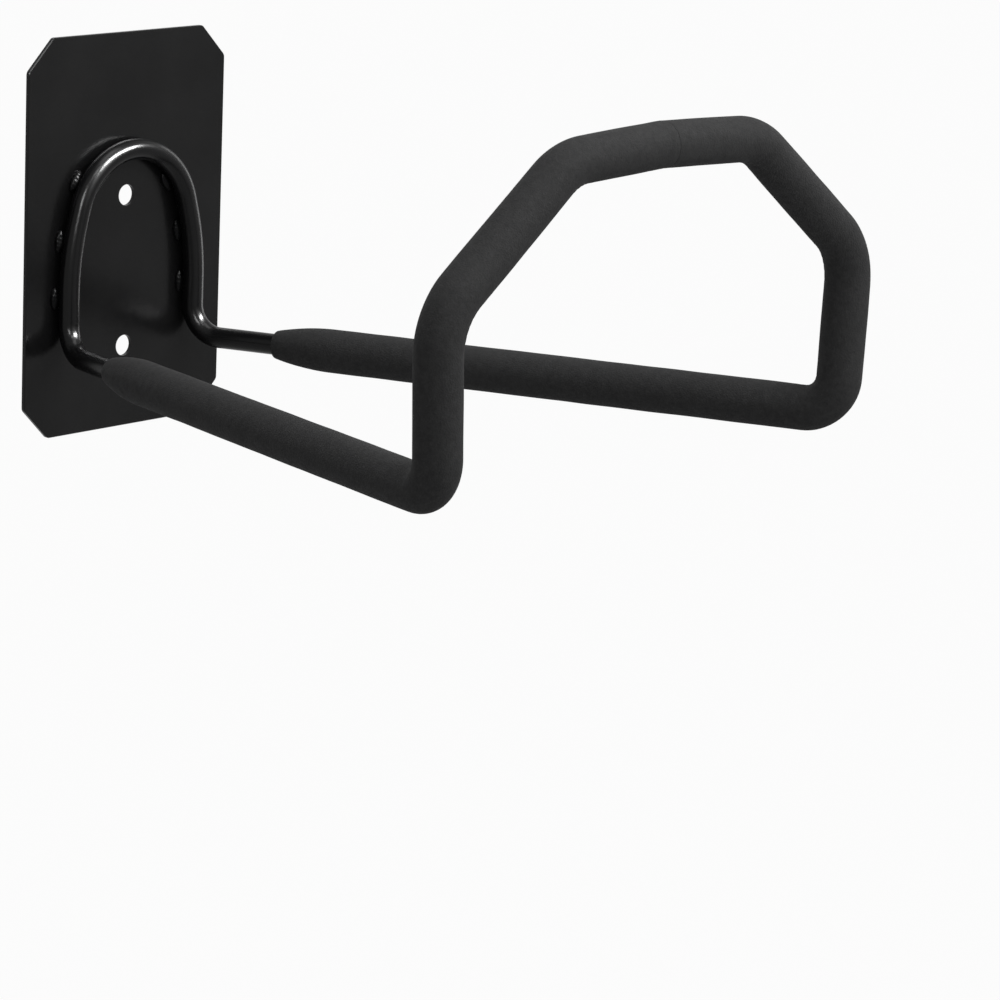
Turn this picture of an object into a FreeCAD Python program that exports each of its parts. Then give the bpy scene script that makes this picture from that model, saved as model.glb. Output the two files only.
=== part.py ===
import FreeCAD, Part
import Sketcher
import math
import os

doc = FreeCAD.newDocument("hose_hanger")
Vector = FreeCAD.Vector

# Driving sizes in millimetres and degrees. The origin is the middle of the plate's back face,
# X runs along the wall, +Y goes into the wall and +Z is up.
sizes = [
    ("plate_width", 100.0),        # flat plate that screws to the wall
    ("plate_height", 150.0),
    ("plate_thick", 1.5),
    ("corner_cut", 12.0),          # 45 degree clip on each corner
    ("corner_round", 2.5),         # rounding where a clip meets an edge
    ("edge_break", 0.3),           # small bevel round the front face
    ("hole_dia", 8.0),
    ("hole_top", 13.5),            # height of the upper screw hole
    ("hole_pitch", 57.5),          # distance down to the lower one
    ("rod_dia", 8.0),
    ("leg_spacing", 64.0),         # between the legs of the back arch
    ("leg_lean", 15.2),            # inward lean of each leg above its knee
    ("knee_height", -7.0),
    ("knee_bend", 100.0),
    ("arch_height", 31.4),         # top of the arch, on the rod's middle line
    ("arm_height", -43.0),         # where a leg turns forward into an arm
    ("back_bend", 12.0),
    ("reach", 259.5),              # wall to the middle of the front loop
    ("arm_rise", 3.6),
    ("front_width", 211.0),        # between the lower front corners
    ("front_bend", 13.0),
    ("upright_rise", 58.4),
    ("shoulder_width", 216.4),     # between the widest corners of the front loop
    ("shoulder_bend", 25.0),
    ("slope_rise", 44.7),
    ("crown_width", 97.6),         # between the upper corners of the front loop
    ("crown_bend", 26.0),
    ("peak_rise", 2.0),            # lift of the crown at its middle
    ("peak_bend", 60.0),
    ("foam_dia", 16.6),
    ("foam_slip", 0.1),            # free space all round between rod and foam bore
    ("foam_start", 37.0),          # from the turn of the leg to the foam's rear end
    ("neck_dia", 10.6),            # the foam is drawn in at its rear end
    ("neck_length", 24.0),
    ("end_round", 0.6),            # rounding of the foam's cut ends
    ("bead_length", 9.0),          # one stitch of weld beside a leg
    ("bead_width", 4.4),
    ("bead_height", 3.4),
    ("bead_lift", 0.5),            # middle of a bead above the plate
    ("bead_first", -22.0),
    ("bead_pitch", 20.5),
    ("bead_count", 3),
]

sheet = doc.addObject("Spreadsheet::Sheet", "sizes")
for row, (alias, value) in enumerate(sizes, start=1):
    sheet.set("A%d" % row, alias)
    sheet.set("B%d" % row, str(value))
    sheet.setAlias("B%d" % row, alias)
doc.recompute()


def size(alias):
    return float(sheet.get(alias))


# back plate: a clipped rectangle with two screw holes on its upright middle line
plate = doc.addObject("PartDesign::Body", "back_plate")
plate.Label = "back_plate"
wall_plane = [f for f in plate.Origin.OriginFeatures if f.Role == "XZ_Plane"][0]


def wall_sketch(name):
    sketch = plate.newObject("Sketcher::SketchObject", name)
    sketch.AttachmentSupport = (wall_plane, [""])
    sketch.MapMode = "FlatFace"
    return sketch


def bind(sketch, constraint, expression):
    index = sketch.addConstraint(constraint)
    sketch.setExpression("Constraints[%d]" % index, expression)
    return index


outline = wall_sketch("plate_outline")
half_w, half_h = size("plate_width") / 2, size("plate_height") / 2
corners = [Vector(-half_w, -half_h, 0), Vector(half_w, -half_h, 0), Vector(half_w, half_h, 0), Vector(-half_w, half_h, 0)]
for k in range(4):
    outline.addGeometry(Part.LineSegment(corners[k], corners[(k + 1) % 4]))
for k in range(4):
    outline.addConstraint(Sketcher.Constraint("Coincident", k, 2, (k + 1) % 4, 1))
for k in (0, 2):
    outline.addConstraint(Sketcher.Constraint("Horizontal", k))
    outline.addConstraint(Sketcher.Constraint("Vertical", k + 1))
outline.addConstraint(Sketcher.Constraint("Symmetric", 0, 1, 1, 2, -1, 1))
bind(outline, Sketcher.Constraint("DistanceX", 0, 1, 0, 2, 2 * half_w), "sizes.plate_width")
bind(outline, Sketcher.Constraint("DistanceY", 1, 1, 1, 2, 2 * half_h), "sizes.plate_height")
doc.recompute()

sheet_pad = plate.newObject("PartDesign::Pad", "plate_sheet")
sheet_pad.Profile = outline
sheet_pad.setExpression("Length", "sizes.plate_thick")
doc.recompute()


def edges_where(feature, test):
    return ["Edge%d" % (k + 1) for k, edge in enumerate(feature.Shape.Edges) if test(edge)]


def runs_through(edge):
    ends = [v.Point for v in edge.Vertexes]
    return len(ends) == 2 and abs(abs(ends[0].y - ends[1].y) - size("plate_thick")) < 1e-6


def on_front(edge):
    box = edge.BoundBox
    return abs(box.YMin - front_y) < 1e-6 and abs(box.YMax - front_y) < 1e-6


front_y = -size("plate_thick")
clips = plate.newObject("PartDesign::Chamfer", "plate_clips")
clips.Base = (sheet_pad, edges_where(sheet_pad, runs_through))
clips.setExpression("Size", "sizes.corner_cut")
doc.recompute()

rounds = plate.newObject("PartDesign::Fillet", "plate_rounds")
rounds.Base = (clips, edges_where(clips, runs_through))
rounds.setExpression("Radius", "sizes.corner_round")
doc.recompute()

rim = plate.newObject("PartDesign::Chamfer", "plate_rim")
rim.Base = (rounds, edges_where(rounds, on_front))
rim.setExpression("Size", "sizes.edge_break")
doc.recompute()

screw_holes = wall_sketch("screw_holes")
for k in range(2):
    height = size("hole_top") - k * size("hole_pitch")
    screw_holes.addGeometry(Part.Circle(Vector(0, height, 0), Vector(0, 0, 1), size("hole_dia") / 2))
    screw_holes.addConstraint(Sketcher.Constraint("PointOnObject", k, 3, -2))
    bind(screw_holes, Sketcher.Constraint("Diameter", k, size("hole_dia")), "sizes.hole_dia")
bind(screw_holes, Sketcher.Constraint("DistanceY", -1, 1, 0, 3, size("hole_top")), "sizes.hole_top")
bind(screw_holes, Sketcher.Constraint("DistanceY", 1, 3, 0, 3, size("hole_pitch")), "sizes.hole_pitch")
doc.recompute()

drilled = plate.newObject("PartDesign::Pocket", "plate_holes")
drilled.Profile = screw_holes
drilled.Type = "ThroughAll"
drilled.Midplane = True
plate.Tip = drilled
doc.recompute()

# hook rod: straight lengths joined by bends. Each half starts at the middle of the front loop's crown,
# goes round the loop, back along an arm and up a leg to the middle of the back arch.
rod_y = -size("plate_thick") - size("rod_dia") / 2
loop_y = -size("reach")
lean = math.radians(size("leg_lean"))
leg_half = size("leg_spacing") / 2
apex_height = size("knee_height") + leg_half / math.tan(lean)
arch_bend = (apex_height - size("arch_height")) / (1 / math.sin(lean) - 1)
front_height = size("arm_height") + size("arm_rise")
shoulder_height = front_height + size("upright_rise")
crown_height = shoulder_height + size("slope_rise")


def half_turns(side):
    crown = Vector(side * size("crown_width") / 2, loop_y, crown_height)
    shoulder = Vector(side * size("shoulder_width") / 2, loop_y, shoulder_height)
    front = Vector(side * size("front_width") / 2, loop_y, front_height)
    back = Vector(side * leg_half, rod_y, size("arm_height"))
    knee = Vector(side * leg_half, rod_y, size("knee_height"))
    return [crown, shoulder, front, back, knee]


def bend(before, corner, after, radius):
    a = (before - corner).normalize()
    b = (after - corner).normalize()
    half_angle = a.getAngle(b) / 2
    along = radius / math.tan(half_angle)
    centre = corner + (a + b).normalize() * (radius / math.sin(half_angle))
    middle = centre + (corner - centre).normalize() * radius
    return {"centre": centre, "start": corner + a * along, "middle": middle, "end": corner + b * along}


def arc(centre, start, end):
    radius = (start - centre).Length
    halfway = centre + ((start - centre) + (end - centre)).normalize() * radius
    return Part.Arc(start, halfway, end).toShape()


def line(start, end):
    return Part.LineSegment(start, end).toShape()


def half_path(side):
    peak = Vector(0, loop_y, crown_height + size("peak_rise"))
    apex = Vector(0, rod_y, apex_height)
    turns = half_turns(side)
    other = half_turns(-side)
    radii = [size(name) for name in ("crown_bend", "shoulder_bend", "front_bend", "back_bend", "knee_bend")]
    top = bend(other[0], peak, turns[0], size("peak_bend"))
    stops = [peak] + turns + [apex]
    bends = [bend(stops[k], stops[k + 1], stops[k + 2], radii[k]) for k in range(5)]
    crest = bend(turns[4], apex, other[4], arch_bend)
    front_edges = [arc(top["centre"], top["middle"], top["end"])]
    last = top["end"]
    for turn in bends[:3]:
        front_edges.append(line(last, turn["start"]))
        front_edges.append(arc(turn["centre"], turn["start"], turn["end"]))
        last = turn["end"]
    rear_edges = []
    arm_start = last
    for turn in bends[3:]:
        rear_edges.append(line(last, turn["start"]))
        rear_edges.append(arc(turn["centre"], turn["start"], turn["end"]))
        last = turn["end"]
    rear_edges.append(line(last, crest["start"]))
    rear_edges.append(arc(crest["centre"], crest["start"], crest["middle"]))
    arm = (turns[2] - turns[3]).normalize()
    foam_end = turns[3] + arm * size("foam_start")
    neck_end = foam_end + arm * size("neck_length")
    return {"front": front_edges, "rear": rear_edges, "top": top["middle"], "arm": arm,
            "arm_start": arm_start, "foam_end": foam_end, "neck_end": neck_end}


def path_feature(name, edges):
    feature = doc.addObject("Part::Feature", name)
    feature.Shape = Part.Wire(edges)
    return feature


def ring_at(name, point, radius_expression):
    ring = doc.addObject("Part::Circle", name)
    ring.setExpression("Radius", radius_expression)
    ring.Placement = FreeCAD.Placement(point, FreeCAD.Rotation(Vector(0, 0, 1), Vector(1, 0, 0)))
    return ring


def swept(name, path, ring):
    sweep = doc.addObject("Part::Sweep", name)
    sweep.Sections = [ring]
    sweep.Spine = (path, ["Edge%d" % (k + 1) for k in range(len(path.Shape.Edges))])
    sweep.Solid = True
    sweep.Frenet = False
    doc.recompute()
    return sweep


sides = {"left": half_path(-1), "right": half_path(1)}
rod_halves = []
for side, run in sides.items():
    rod_path = path_feature("rod_path_" + side, run["front"] + run["rear"])
    rod_ring = ring_at("rod_ring_" + side, run["top"], "sizes.rod_dia / 2")
    rod_halves.append(swept("rod_half_" + side, rod_path, rod_ring))

rod = doc.addObject("Part::MultiFuse", "hook_rod")
rod.Label = "hook_rod"
rod.Shapes = rod_halves
rod.Refine = True
doc.recompute()

# foam sleeves: a tube over each half of the loop and its arm, drawn in at the rear end
def at_cut_end(edge, ends):
    curve = edge.Curve
    if not hasattr(curve, "Radius"):
        return False
    return any(abs(curve.Radius - r) < 0.01 and (curve.Center - p).Length < 0.01 for r, p in ends)


sleeves = []
for side, run in sides.items():
    tube_path = path_feature("foam_path_" + side, run["front"] + [line(run["arm_start"], run["neck_end"])])
    tube_ring = ring_at("foam_ring_" + side, run["top"], "sizes.foam_dia / 2")
    tube = swept("foam_tube_" + side, tube_path, tube_ring)

    neck = doc.addObject("Part::Cone", "foam_neck_" + side)
    neck.setExpression("Radius1", "sizes.neck_dia / 2")
    neck.setExpression("Radius2", "sizes.foam_dia / 2")
    neck.setExpression("Height", "sizes.neck_length")
    neck.Placement = FreeCAD.Placement(run["foam_end"], FreeCAD.Rotation(Vector(0, 0, 1), run["arm"]))

    foam = doc.addObject("Part::MultiFuse", "foam_solid_" + side)
    foam.Shapes = [tube, neck]
    foam.Refine = True
    doc.recompute()

    bore_path = path_feature("bore_path_" + side, run["front"] + [line(run["arm_start"], run["foam_end"])])
    bore_ring = ring_at("bore_ring_" + side, run["top"], "sizes.rod_dia / 2 + sizes.foam_slip")
    bore = swept("foam_bore_" + side, bore_path, bore_ring)

    hollow = doc.addObject("Part::Cut", "foam_hollow_" + side)
    hollow.Base = foam
    hollow.Tool = bore
    doc.recompute()

    cut_ends = [(size("neck_dia") / 2, run["foam_end"]), (size("foam_dia") / 2, run["top"])]
    sleeve = doc.addObject("Part::Fillet", "foam_sleeve_" + side)
    sleeve.Label = "foam_sleeve_" + side
    sleeve.Base = hollow
    rounded = [k + 1 for k, edge in enumerate(hollow.Shape.Edges) if at_cut_end(edge, cut_ends)]
    sleeve.Edges = [(k, size("end_round"), size("end_round")) for k in rounded]
    doc.recompute()
    sleeves.append(sleeve)

# welds: short stitches on both sides of each leg, filling the corner between rod and plate
welds = []
for side, run in sides.items():
    sign = -1 if side == "left" else 1
    leg = Part.Wire(run["rear"]).discretize(Distance=0.25)
    leg = [p for p in leg if abs(p.y - rod_y) < 1e-4]
    beads = []
    for k in range(int(size("bead_count"))):
        height = size("bead_first") + k * size("bead_pitch")
        spot = min(range(1, len(leg) - 1), key=lambda j: abs(leg[j].z - height))
        along = (leg[spot + 1] - leg[spot - 1]).normalize()
        across = along.cross(Vector(0, 1, 0))
        for hand in (-1, 1):
            bead = doc.addObject("Part::Ellipsoid", "bead_%s_%d_%d" % (side, k, hand + 1))
            bead.setExpression("Radius1", "sizes.bead_height / 2")
            bead.setExpression("Radius2", "sizes.bead_length / 2")
            bead.setExpression("Radius3", "sizes.bead_width / 2")
            place = leg[spot] + across * (hand * size("rod_dia") / 2)
            place.y = front_y - size("bead_lift")
            bead.Placement = FreeCAD.Placement(place, FreeCAD.Rotation(along, across, Vector(0, -1, 0), "XYZ"))
            beads.append(bead)
    group = doc.addObject("Part::Compound", "beads_" + side)
    group.Links = beads
    doc.recompute()
    clear_of_rod = doc.addObject("Part::Cut", "beads_on_rod_" + side)
    clear_of_rod.Base = group
    clear_of_rod.Tool = rod
    doc.recompute()
    weld = doc.addObject("Part::Cut", "leg_welds_" + side)
    weld.Label = "leg_welds_" + side
    weld.Base = clear_of_rod
    weld.Tool = plate
    doc.recompute()
    welds.append(weld)

doc.recompute()
for obj in doc.Objects:
    if "Invalid" in obj.State or "Error" in obj.State:
        raise RuntimeError("%s is %s" % (obj.Name, obj.State))

os.makedirs("parts", exist_ok=True)
for piece in [plate, rod] + sleeves + welds:
    shape = piece.Shape
    if shape.isNull() or not shape.isValid():
        raise RuntimeError(piece.Label + " has no valid shape")
    shape.exportStep("parts/%s.step" % piece.Label)
    print(piece.Label, "solids", len(shape.Solids), "volume", round(shape.Volume, 1), "box", shape.BoundBox)
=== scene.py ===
import math
import bmesh
import bpy
from mathutils import Matrix, Vector, noise


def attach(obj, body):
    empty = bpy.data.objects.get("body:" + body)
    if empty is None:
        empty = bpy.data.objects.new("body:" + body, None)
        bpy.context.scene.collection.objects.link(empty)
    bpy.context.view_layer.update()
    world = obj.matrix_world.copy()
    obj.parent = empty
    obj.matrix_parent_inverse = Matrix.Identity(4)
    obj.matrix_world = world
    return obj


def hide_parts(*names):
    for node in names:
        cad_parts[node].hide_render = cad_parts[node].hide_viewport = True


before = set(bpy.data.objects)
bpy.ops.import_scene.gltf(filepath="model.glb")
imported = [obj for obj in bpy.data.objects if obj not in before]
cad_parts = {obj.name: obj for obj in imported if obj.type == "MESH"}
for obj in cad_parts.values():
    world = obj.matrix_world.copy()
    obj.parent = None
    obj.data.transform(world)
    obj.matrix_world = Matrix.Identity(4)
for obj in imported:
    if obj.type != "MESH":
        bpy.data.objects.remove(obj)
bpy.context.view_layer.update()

mm = 0.001


# the bent line that the rod and both sleeves follow, in mm
hookLine = {
    "rodY": -5.5,  # middle of the rod where it lies on the plate
    "loopY": -259.5,  # plane of the front loop
    "peak": (0.0, 65.7, 60.0),  # x, z and bend radius
    "crown": (48.8, 63.7, 26.0),
    "shoulder": (108.2, 19.0, 25.0),
    "front": (105.5, -39.4, 13.0),
    "back": (32.0, -43.0, 12.0),
    "knee": (32.0, -7.0, 100.0),
    "legLean": 15.2,  # degrees from upright
    "archTop": 31.4,
}
frontCorner, backCorner, archCorner = 3, 4, 6  # places in the list of corners


def hookCorners(side):
    line = hookLine
    kneeX, kneeZ = line["knee"][:2]
    lean = math.radians(line["legLean"])
    apexZ = kneeZ + kneeX / math.tan(lean)
    archBend = (apexZ - line["archTop"]) / (1 / math.sin(lean) - 1)
    corners = []
    for name in ("peak", "crown", "shoulder", "front"):
        x, z, bend = line[name]
        corners.append((Vector((side * x, line["loopY"], z)) * mm, bend * mm))
    for x, z, bend in (line["back"], line["knee"], (0.0, apexZ, archBend)):
        corners.append((Vector((side * x, line["rodY"], z)) * mm, bend * mm))
    return corners


def mirrored(point):
    return Vector((-point.x, point.y, point.z))


def bendAt(before, corner, after, radius):
    toBefore = (before - corner).normalized()
    toAfter = (after - corner).normalized()
    half = toBefore.angle(toAfter) / 2
    centre = corner + (toBefore + toAfter).normalized() * (radius / math.sin(half))
    start = corner + toBefore * (radius / math.tan(half))
    end = corner + toAfter * (radius / math.tan(half))
    axis = (start - centre).cross(end - centre).normalized()
    return {"start": start, "end": end, "centre": centre, "axis": axis,
            "turn": math.pi - 2 * half}


# half of the hook from the middle of the front loop: first point, then straights and bends
def hookMoves(side, lastCorner, stop=None):
    corners = hookCorners(side)
    points = [corner for corner, bend in corners]
    points = [mirrored(points[1])] + points + [mirrored(points[-2])]
    moves = []
    for place in range(lastCorner + 1):
        corner, radius = corners[place]
        bend = bendAt(points[place], corner, points[place + 2], radius)
        if place == 0:
            begin = bend["centre"] + (corner - bend["centre"]).normalized() * radius
        else:
            moves.append({"vector": bend["start"] - reached})
        if place in (0, archCorner):
            bend["turn"] /= 2  # only half of this bend is on this side
        moves.append(bend)
        reached = bend["end"]
    if stop is not None:
        moves.append({"vector": stop - reached})
    return begin, moves


def ringOf(bm, middle, heading, radius, segments):
    turn = heading.to_track_quat("Z", "Y").to_matrix().to_4x4()
    place = Matrix.Translation(middle) @ turn
    verts = bmesh.ops.create_circle(bm, cap_ends=False, segments=segments, radius=radius,
                                    matrix=place)["verts"]
    ring = set(verts)
    edges = [edge for edge in bm.edges if edge.verts[0] in ring]
    return verts, edges


def sortOut(made):
    verts = [item for item in made if isinstance(item, bmesh.types.BMVert)]
    edges = [item for item in made if isinstance(item, bmesh.types.BMEdge) and item.is_boundary]
    return verts, edges


# pushes a ring along the moves and notes the middle and the inner side of every ring
def sweepRing(bm, verts, edges, middle, moves, step, bendStep):
    run = 0.0
    rings = [{"verts": verts, "edges": edges, "middle": middle.copy(), "inner": None, "run": run}]
    for move in moves:
        if "vector" in move:
            length = move["vector"].length
            count = max(1, round(length / step))
            for part in range(count):
                made = bmesh.ops.extrude_edge_only(bm, edges=edges)["geom"]
                verts, edges = sortOut(made)
                bmesh.ops.translate(bm, verts=verts, vec=move["vector"] / count)
                middle = middle + move["vector"] / count
                run += length / count
                rings.append({"verts": verts, "edges": edges, "middle": middle,
                              "inner": None, "run": run})
            continue
        centre, axis = move["centre"], move["axis"]
        radius = (middle - centre).length
        count = max(2, round(radius * move["turn"] / bendStep))
        angle = move["turn"] / count
        turn = Matrix.Rotation(angle, 3, axis)
        for part in range(count):
            made = bmesh.ops.spin(bm, geom=verts + edges, cent=centre, axis=axis, angle=angle,
                                  steps=1, use_duplicate=False)["geom_last"]
            verts, edges = sortOut(made)
            middle = centre + turn @ (middle - centre)
            run += radius * angle
            rings.append({"verts": verts, "edges": edges, "middle": middle,
                          "inner": (centre - middle).normalized(), "run": run})
    return rings


def finishPiece(bm, name, material, slot, *nodes):
    bmesh.ops.recalc_face_normals(bm, faces=bm.faces)
    for face in bm.faces:
        face.smooth = True
    mesh = bpy.data.meshes.new(name)
    bm.to_mesh(mesh)
    bm.free()
    mesh.materials.append(material)
    piece = bpy.data.objects.new(name, mesh)
    bpy.context.scene.collection.objects.link(piece)
    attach(piece, "root")
    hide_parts(*nodes)
    return piece


# materials
def newMaterial(name):
    material = bpy.data.materials.new(name)
    material.use_nodes = True
    tree = material.node_tree
    shader = tree.nodes["Principled BSDF"]
    where = tree.nodes.new("ShaderNodeTexCoord").outputs["Object"]
    return material, tree, shader, where


def noiseNode(tree, where, scale, detail, rough=0.5):
    node = tree.nodes.new("ShaderNodeTexNoise")
    node.inputs["Scale"].default_value = scale
    node.inputs["Detail"].default_value = detail
    node.inputs["Roughness"].default_value = rough
    tree.links.new(where, node.inputs["Vector"])
    return node.outputs["Fac"]


def cellNode(tree, where, scale):
    node = tree.nodes.new("ShaderNodeTexVoronoi")
    node.inputs["Scale"].default_value = scale
    tree.links.new(where, node.inputs["Vector"])
    return node.outputs["Distance"]


def rampNode(tree, source, dark, light, low, high):
    node = tree.nodes.new("ShaderNodeValToRGB")
    for stop, position, colour in zip(node.color_ramp.elements, (low, high), (dark, light)):
        stop.position = position
        stop.color = (*colour, 1.0)
    tree.links.new(source, node.inputs["Fac"])
    return node.outputs["Color"]


def rangeNode(tree, source, low, high, fromLow=0.3, fromHigh=0.7):
    node = tree.nodes.new("ShaderNodeMapRange")
    node.inputs["From Min"].default_value = fromLow
    node.inputs["From Max"].default_value = fromHigh
    node.inputs["To Min"].default_value = low
    node.inputs["To Max"].default_value = high
    tree.links.new(source, node.inputs["Value"])
    return node.outputs["Result"]


def bumpNode(tree, source, strength, distance, under=None):
    node = tree.nodes.new("ShaderNodeBump")
    node.inputs["Strength"].default_value = strength
    node.inputs["Distance"].default_value = distance
    tree.links.new(source, node.inputs["Height"])
    if under is not None:
        tree.links.new(under, node.inputs["Normal"])
    return node.outputs["Normal"]


# paint: faint clouds in colour and gloss, orange peel and fine specks
paintLayers = {
    "cloudDetail": 4.0, "peelDetail": 2.0, "speckDetail": 1.0,
    "darkAt": 0.3, "lightAt": 0.7,
}
platePaint = {
    "dark": (0.0075, 0.0075, 0.0078), "light": (0.0105, 0.0105, 0.0108),
    "cloudScale": 28.0, "peelScale": 420.0, "speckScale": 2200.0,
    "smoothest": 0.19, "roughest": 0.25,
    "peelStrength": 0.10, "peelDepth": 0.0004, "speckStrength": 0.12, "speckDepth": 0.00006,
    "specular": 0.11,
}
rodPaint = {
    "dark": (0.0045, 0.0045, 0.0048), "light": (0.0065, 0.0065, 0.0070),
    "cloudScale": 40.0, "peelScale": 520.0, "speckScale": 1800.0,
    "smoothest": 0.21, "roughest": 0.27,
    "peelStrength": 0.08, "peelDepth": 0.0002, "speckStrength": 0.05, "speckDepth": 0.00003,
    "specular": 0.12,
}
weldPaint = dict(rodPaint, smoothest=0.28, roughest=0.36, specular=0.05)


def paintMaterial(name, finish):
    material, tree, shader, where = newMaterial(name)
    cloud = noiseNode(tree, where, finish["cloudScale"], paintLayers["cloudDetail"])
    peel = noiseNode(tree, where, finish["peelScale"], paintLayers["peelDetail"])
    speck = noiseNode(tree, where, finish["speckScale"], paintLayers["speckDetail"])
    colour = rampNode(tree, cloud, finish["dark"], finish["light"],
                      paintLayers["darkAt"], paintLayers["lightAt"])
    rough = rangeNode(tree, cloud, finish["smoothest"], finish["roughest"])
    wave = bumpNode(tree, peel, finish["peelStrength"], finish["peelDepth"])
    grain = bumpNode(tree, speck, finish["speckStrength"], finish["speckDepth"], wave)
    tree.links.new(colour, shader.inputs["Base Color"])
    tree.links.new(rough, shader.inputs["Roughness"])
    tree.links.new(grain, shader.inputs["Normal"])
    shader.inputs["Specular IOR Level"].default_value = finish["specular"]
    return material


# foam: mottled charcoal with soft lumps, a grainy skin and tiny cells
foamFinish = {
    "dark": (0.041, 0.041, 0.0415), "light": (0.053, 0.053, 0.0535),
    "darkAt": 0.35, "lightAt": 0.65,
    "mottleScale": 380.0, "mottleDetail": 6.0, "mottleRough": 0.7,
    "grainScale": 900.0, "grainDetail": 3.0, "grainRough": 0.6,
    "lumpScale": 70.0, "lumpDetail": 2.0, "cellScale": 1500.0,
    "smoothest": 0.80, "roughest": 0.95,
    "cellStrength": 0.35, "cellDepth": 0.00025, "grainStrength": 0.30, "grainDepth": 0.0003,
    "lumpStrength": 0.25, "lumpDepth": 0.0008,
    "specular": 0.02, "sheen": 0.03, "sheenRough": 0.45,
}


def foamMaterial(name, finish):
    material, tree, shader, where = newMaterial(name)
    mottle = noiseNode(tree, where, finish["mottleScale"], finish["mottleDetail"],
                       finish["mottleRough"])
    grain = noiseNode(tree, where, finish["grainScale"], finish["grainDetail"],
                      finish["grainRough"])
    lump = noiseNode(tree, where, finish["lumpScale"], finish["lumpDetail"])
    cell = cellNode(tree, where, finish["cellScale"])
    colour = rampNode(tree, mottle, finish["dark"], finish["light"],
                      finish["darkAt"], finish["lightAt"])
    rough = rangeNode(tree, grain, finish["roughest"], finish["smoothest"])
    soft = bumpNode(tree, lump, finish["lumpStrength"], finish["lumpDepth"])
    skin = bumpNode(tree, grain, finish["grainStrength"], finish["grainDepth"], soft)
    pores = bumpNode(tree, cell, finish["cellStrength"], finish["cellDepth"], skin)
    tree.links.new(colour, shader.inputs["Base Color"])
    tree.links.new(rough, shader.inputs["Roughness"])
    tree.links.new(pores, shader.inputs["Normal"])
    shader.inputs["Specular IOR Level"].default_value = finish["specular"]
    shader.inputs["Sheen Weight"].default_value = finish["sheen"]
    shader.inputs["Sheen Roughness"].default_value = finish["sheenRough"]
    return material


satinBlack = paintMaterial("satinBlack", platePaint)
glossBlack = paintMaterial("glossBlack", rodPaint)
weldBlack = paintMaterial("weldBlack", weldPaint)
charcoalFoam = foamMaterial("charcoalFoam", foamFinish)
print("materials ready")


# the back plate stays as model.glb has it, with its paint
def paintNode(name, material):
    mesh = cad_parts[name].data
    mesh.materials.clear()
    mesh.materials.append(material)


paintNode("back_plate", satinBlack)
print("plate painted")


# hook rod, bent on one side and mirrored
hookRod = {
    "dia": 8.0, "segments": 48, "step": 6.0, "bendStep": 0.9,
    "mergeGap": 0.02, "flatGap": 0.01,
}


def makeHookRod():
    begin, moves = hookMoves(1, archCorner)
    bm = bmesh.new()
    verts, edges = ringOf(bm, begin, Vector((1, 0, 0)), hookRod["dia"] / 2 * mm,
                          hookRod["segments"])
    rings = sweepRing(bm, verts, edges, begin, moves, hookRod["step"] * mm,
                      hookRod["bendStep"] * mm)
    bmesh.ops.mirror(bm, geom=bm.verts[:] + bm.edges[:] + bm.faces[:], axis="X",
                     merge_dist=hookRod["mergeGap"] * mm)
    finishPiece(bm, "hookRod", glossBlack, "rod_paint", "hook_rod")
    # the middles of the leg that lies on the plate
    middles = [ring["middle"] for ring in rings]
    return [point for point in middles
            if abs(point.y - hookLine["rodY"] * mm) < hookRod["flatGap"] * mm]


rightLeg = makeHookRod()
print("hook rod bent")


# weld stitches: smooth beads with faint ripples, in the corner between each leg and the plate
weldStitch = {
    "heights": (-22.0, -1.5, 19.0), "length": 8.4, "width": 4.2, "height": 3.2, "segments": 28,
    "lift": 0.5, "plateFront": -1.5,
    "ripple": 0.05, "ripplePitch": 1.5, "rippleLean": 0.6,
    "uneven": 0.16, "unevenScale": 1.3, "sideSeed": 5.0, "handSeed": 7.0,
}


def legAt(height):
    for low, high in zip(rightLeg, rightLeg[1:]):
        if low.z <= height <= high.z:
            return low.lerp(high, (height - low.z) / (high.z - low.z)), (high - low).normalized()


def shapeBead(bead, seed):
    stitch = weldStitch
    size = Vector((stitch["width"], stitch["length"], stitch["height"])) / 2
    for vert in bead:
        x, y, z = vert.co
        reach = y * size.y - stitch["rippleLean"] * z  # ripples lean along the bead
        wave = stitch["ripple"] * math.cos(2 * math.pi * reach / stitch["ripplePitch"])
        lump = stitch["uneven"] * noise.noise(vert.co * stitch["unevenScale"] + seed)
        thick = 1 + wave + lump - stitch["ripple"] - stitch["uneven"] / 2
        vert.co = Vector((x * size.x * thick, y * size.y, z * size.z * thick)) * mm


def makeWelds(name, node, side):
    stitch = weldStitch
    upright = Matrix.Rotation(math.pi / 2, 4, "X")
    bm = bmesh.new()
    for height in stitch["heights"]:
        spot, along = legAt(height * mm)
        spot = Vector((side * spot.x, (stitch["plateFront"] - stitch["lift"]) * mm, spot.z))
        along = Vector((side * along.x, along.y, along.z))
        across = along.cross(Vector((0, 1, 0)))
        turn = Matrix((across, along, across.cross(along))).transposed().to_4x4()
        for hand in (-1, 1):
            bead = bmesh.ops.create_uvsphere(bm, u_segments=stitch["segments"],
                                             v_segments=stitch["segments"], radius=1.0,
                                             matrix=upright)["verts"]
            shapeBead(bead, Vector((height, side * stitch["sideSeed"], hand * stitch["handSeed"])))
            middle = spot + across * hand * hookRod["dia"] / 2 * mm
            bmesh.ops.transform(bm, matrix=Matrix.Translation(middle) @ turn, verts=bead)
    finishPiece(bm, name, weldBlack, "weld_paint", node)


makeWelds("weldStitchesLeft", "leg_welds_left", -1)
makeWelds("weldStitchesRight", "leg_welds_right", 1)
print("legs welded")


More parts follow.
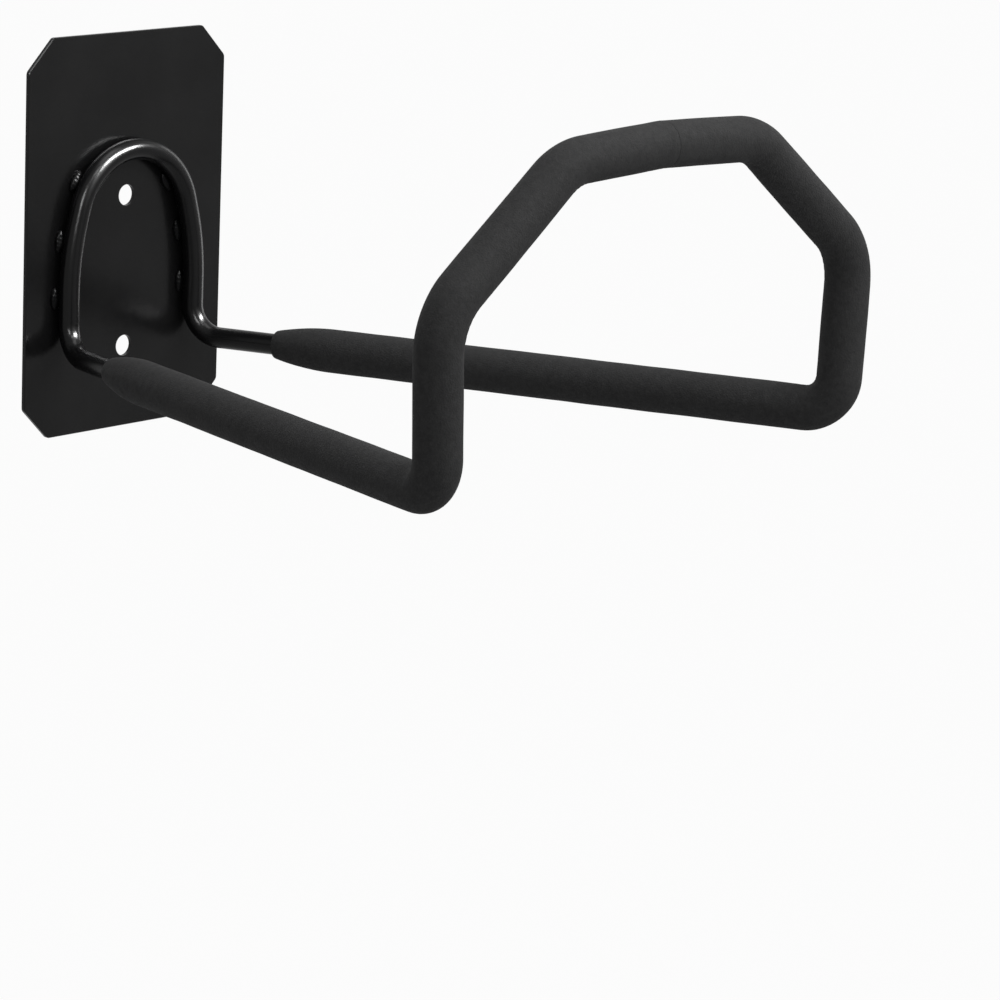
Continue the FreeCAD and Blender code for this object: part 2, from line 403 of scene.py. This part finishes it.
# foam sleeves
foamSleeve = {
    "dia": 16.6, "bore": 8.2, "start": 37.0,
    "neckDia": 10.6, "neckLength": 24.0, "neckEase": 0.9,
    "segments": 64, "step": 1.8, "bendStep": 1.2, "boreStep": 12.0, "boreBendStep": 2.5,
    "seamLip": 0.25, "rearLip": 0.55, "lipSegments": 3,
    "barSlim": 0.25, "slimEnd": 90.0, "slimFade": 50.0,  # the crown is drawn a little thinner
    "lump": 0.10, "lumpSize": 14.0, "lumpSeed": 3.0,
    "crease": 0.22, "creasePitch": 3.6, "stretch": 0.12, "blendRings": 5,
    "wander": 2.2, "wanderSize": 6.0, "wanderSeed": 9.0,
}


def sleeveRadius(run, toEnd):
    shape = foamSleeve
    radius = full = shape["dia"] / 2
    if toEnd < shape["neckLength"]:
        part = math.sin(toEnd / shape["neckLength"] * math.pi / 2) ** shape["neckEase"]
        radius = shape["neckDia"] / 2 + (full - shape["neckDia"] / 2) * part
    slim = max(0.0, min(1.0, (shape["slimEnd"] - run) / shape["slimFade"]))
    return radius - shape["barSlim"] * slim


# lumps all over, creases inside the bends and a slight stretch outside them
def shapeFoam(rings, side):
    shape = foamSleeve
    near = shape["blendRings"]
    total = rings[-1]["run"] / mm
    for place, ring in enumerate(rings):
        run = ring["run"] / mm
        radius = sleeveRadius(run, total - run)
        bending = [other["inner"] for other in rings[max(0, place - near):place + near + 1]
                   if other["inner"] is not None]
        share = len(bending) / (2 * near + 1)
        inner = bending[len(bending) // 2] if bending else None
        wander = noise.noise(Vector((run / shape["wanderSize"], side * shape["wanderSeed"], 0.0)))
        phase = 2 * math.pi * run / shape["creasePitch"] + shape["wander"] * wander
        ripple = 0.5 - 0.5 * math.cos(phase)
        for vert in ring["verts"]:
            out = (vert.co - ring["middle"]).normalized()
            spot = vert.co / mm / shape["lumpSize"] + Vector((side * shape["lumpSeed"], 0.0, 0.0))
            change = shape["lump"] * (noise.noise(spot) - 0.5)
            if inner is not None:
                facing = out.dot(inner)
                if facing > 0:
                    change -= shape["crease"] * share * facing ** 2 * ripple
                else:
                    change -= shape["stretch"] * share * facing ** 2
            vert.co = ring["middle"] + out * (radius + change) * mm


def makeFoam(name, node, side):
    shape = foamSleeve
    corners = [corner for corner, bend in hookCorners(side)]
    arm = (corners[frontCorner] - corners[backCorner]).normalized()
    begin, moves = hookMoves(side, frontCorner, corners[backCorner] + arm * shape["start"] * mm)
    heading = Vector((side, 0, 0))
    bm = bmesh.new()
    verts, edges = ringOf(bm, begin, heading, shape["dia"] / 2 * mm, shape["segments"])
    outer = sweepRing(bm, verts, edges, begin, moves, shape["step"] * mm, shape["bendStep"] * mm)
    verts, edges = ringOf(bm, begin, heading, shape["bore"] / 2 * mm, shape["segments"])
    bore = sweepRing(bm, verts, edges, begin, moves, shape["boreStep"] * mm,
                     shape["boreBendStep"] * mm)
    shapeFoam(outer, side)
    boreFaces = {face for ring in bore for vert in ring["verts"] for face in vert.link_faces}
    bmesh.ops.reverse_faces(bm, faces=list(boreFaces))  # the bore looks at the rod
    for end in (0, -1):
        bmesh.ops.bridge_loops(bm, edges=outer[end]["edges"] + bore[end]["edges"])
    for end, lip in ((0, shape["seamLip"]), (-1, shape["rearLip"])):
        bmesh.ops.bevel(bm, geom=outer[end]["edges"], offset=lip * mm, offset_type="OFFSET",
                        affect="EDGES", segments=shape["lipSegments"], profile=0.5, material=-1)
    piece = finishPiece(bm, name, charcoalFoam, "foam", node)


makeFoam("foamSleeveLeft", "foam_sleeve_left", -1)
makeFoam("foamSleeveRight", "foam_sleeve_right", 1)
print("foam sleeves fitted")


# studio
studio = {
    "floorZ": -1.00, "floorSize": 30.0, "floorColour": (0.55, 0.55, 0.55), "floorRough": 0.9,
    "floorGlow": 0.96,  # share of plain white in the floor, apart from the light it gives
    "fillColour": (1.0, 1.0, 1.0), "worldFill": 0.31, "backdropColour": (0.972, 0.972, 0.972),
}


def mathNode(tree, operation, first, second):
    node = tree.nodes.new("ShaderNodeMath")
    node.operation = operation
    tree.links.new(first, node.inputs[0])
    if isinstance(second, float):
        node.inputs[1].default_value = second
    else:
        tree.links.new(second, node.inputs[1])
    return node.outputs[0]


# camera, glossy and transmitted rays see the white surroundings
def seenBy(tree, amount):
    rays = tree.nodes.new("ShaderNodeLightPath").outputs
    seen = mathNode(tree, "MAXIMUM", rays["Is Camera Ray"], rays["Is Glossy Ray"])
    seen = mathNode(tree, "MAXIMUM", seen, rays["Is Transmission Ray"])
    return mathNode(tree, "MULTIPLY", seen, amount)


def mixInto(tree, first, second, amount):
    mix = tree.nodes.new("ShaderNodeMixShader")
    tree.links.new(seenBy(tree, amount), mix.inputs[0])
    tree.links.new(first, mix.inputs[1])
    tree.links.new(second, mix.inputs[2])
    out = [node for node in tree.nodes if node.type in ("OUTPUT_MATERIAL", "OUTPUT_WORLD")][0]
    tree.links.new(mix.outputs[0], out.inputs["Surface"])


def makeFloor():
    bm = bmesh.new()
    bmesh.ops.create_grid(bm, x_segments=1, y_segments=1, size=studio["floorSize"] / 2)
    bmesh.ops.translate(bm, verts=bm.verts, vec=(0, 0, studio["floorZ"]))
    mesh = bpy.data.meshes.new("studioFloor")
    bm.to_mesh(mesh)
    bm.free()
    floor = bpy.data.objects.new("studioFloor", mesh)
    bpy.context.scene.collection.objects.link(floor)
    material = bpy.data.materials.new("paleFloor")
    material.use_nodes = True
    tree = material.node_tree
    shader = tree.nodes["Principled BSDF"]
    shader.inputs["Base Color"].default_value = (*studio["floorColour"], 1.0)
    shader.inputs["Roughness"].default_value = studio["floorRough"]
    glow = tree.nodes.new("ShaderNodeEmission")
    glow.inputs["Strength"].default_value = 1.0
    mixInto(tree, shader.outputs["BSDF"], glow.outputs[0], studio["floorGlow"])
    mesh.materials.append(material)


def makeWorld():
    world = bpy.data.worlds.new("studioWorld")
    world.use_nodes = True
    bpy.context.scene.world = world
    tree = world.node_tree
    fill = tree.nodes["Background"]
    fill.inputs["Color"].default_value = (*studio["fillColour"], 1.0)
    fill.inputs["Strength"].default_value = studio["worldFill"]
    white = tree.nodes.new("ShaderNodeBackground")
    white.inputs["Color"].default_value = (*studio["backdropColour"], 1.0)
    white.inputs["Strength"].default_value = 1.0
    mixInto(tree, fill.outputs[0], white.outputs[0], 1.0)


# soft light on the whole object
softboxes = [
    {"name": "topSoftbox", "place": (0.05, -0.25, 1.25), "aim": (0.0, -0.12, 0.0),
     "size": (0.60, 0.60), "watts": 6.2},
    {"name": "frontFill", "place": (0.25, -1.55, 0.45), "aim": (0.0, -0.20, 0.02),
     "size": (0.90, 0.60), "watts": 4.2},
    {"name": "backFill", "place": (0.35, 1.45, 0.70), "aim": (0.0, -0.05, 0.0),
     "size": (0.90, 0.60), "watts": 5.0},
]
# strips that only show in the gloss of the paint
glossStrips = [
    {"name": "rightStrip", "place": (0.42, -0.88, 0.74), "aim": (0.0, -0.05, 0.02),
     "size": (0.80, 0.34), "watts": 190.0, "roll": -22.0},
    {"name": "sideStrip", "place": (1.20, -0.11, 0.12), "aim": (0.03, -0.01, 0.0),
     "size": (0.22, 0.90), "watts": 2.6},
    {"name": "rimStrip", "place": (-0.33, -0.74, 0.98), "aim": (0.0, 0.0, 0.05),
     "size": (0.30, 0.30), "watts": 5.0},
    {"name": "leftStrip", "place": (-0.92, -0.88, 0.55), "aim": (0.0, -0.05, 0.02),
     "size": (0.28, 0.50), "watts": 16.0},
]


def makeSoftbox(box, onDiffuse):
    light = bpy.data.lights.new(box["name"], "AREA")
    light.shape = "RECTANGLE"
    light.size, light.size_y = box["size"]
    light.energy = box["watts"]
    lamp = bpy.data.objects.new(box["name"], light)
    bpy.context.scene.collection.objects.link(lamp)
    place = Vector(box["place"])
    lamp.location = place
    facing = (Vector(box["aim"]) - place).to_track_quat("-Z", "Y").to_matrix()
    roll = Matrix.Rotation(math.radians(box.get("roll", 0.0)), 3, "Z")
    lamp.rotation_euler = (facing @ roll).to_euler()
    lamp.visible_camera = False
    lamp.visible_diffuse = onDiffuse


# camera
viewpoint = {
    "place": (-1.09323, -1.15077, 0.27115), "yaw": 48.8057, "down": 13.1597, "roll": -2.3491,
    "lens": 153.083, "sensor": 36.0, "farEnd": 200.0,
}


def makeCamera():
    data = bpy.data.cameras.new("photoCamera")
    data.sensor_width = viewpoint["sensor"]
    data.lens = viewpoint["lens"]
    data.clip_end = viewpoint["farEnd"]
    camera = bpy.data.objects.new("photoCamera", data)
    bpy.context.scene.collection.objects.link(camera)
    aim = Matrix.Rotation(-math.radians(viewpoint["yaw"]), 4, "Z")
    tip = Matrix.Rotation(math.radians(90 - viewpoint["down"]), 4, "X")
    roll = Matrix.Rotation(-math.radians(viewpoint["roll"]), 4, "Z")
    camera.matrix_world = Matrix.Translation(viewpoint["place"]) @ aim @ tip @ roll
    bpy.context.scene.camera = camera


makeFloor()
makeWorld()
for box in softboxes:
    makeSoftbox(box, True)
for box in glossStrips:
    makeSoftbox(box, False)
makeCamera()
bpy.context.scene.view_settings.view_transform = "Standard"
print("studio lit")
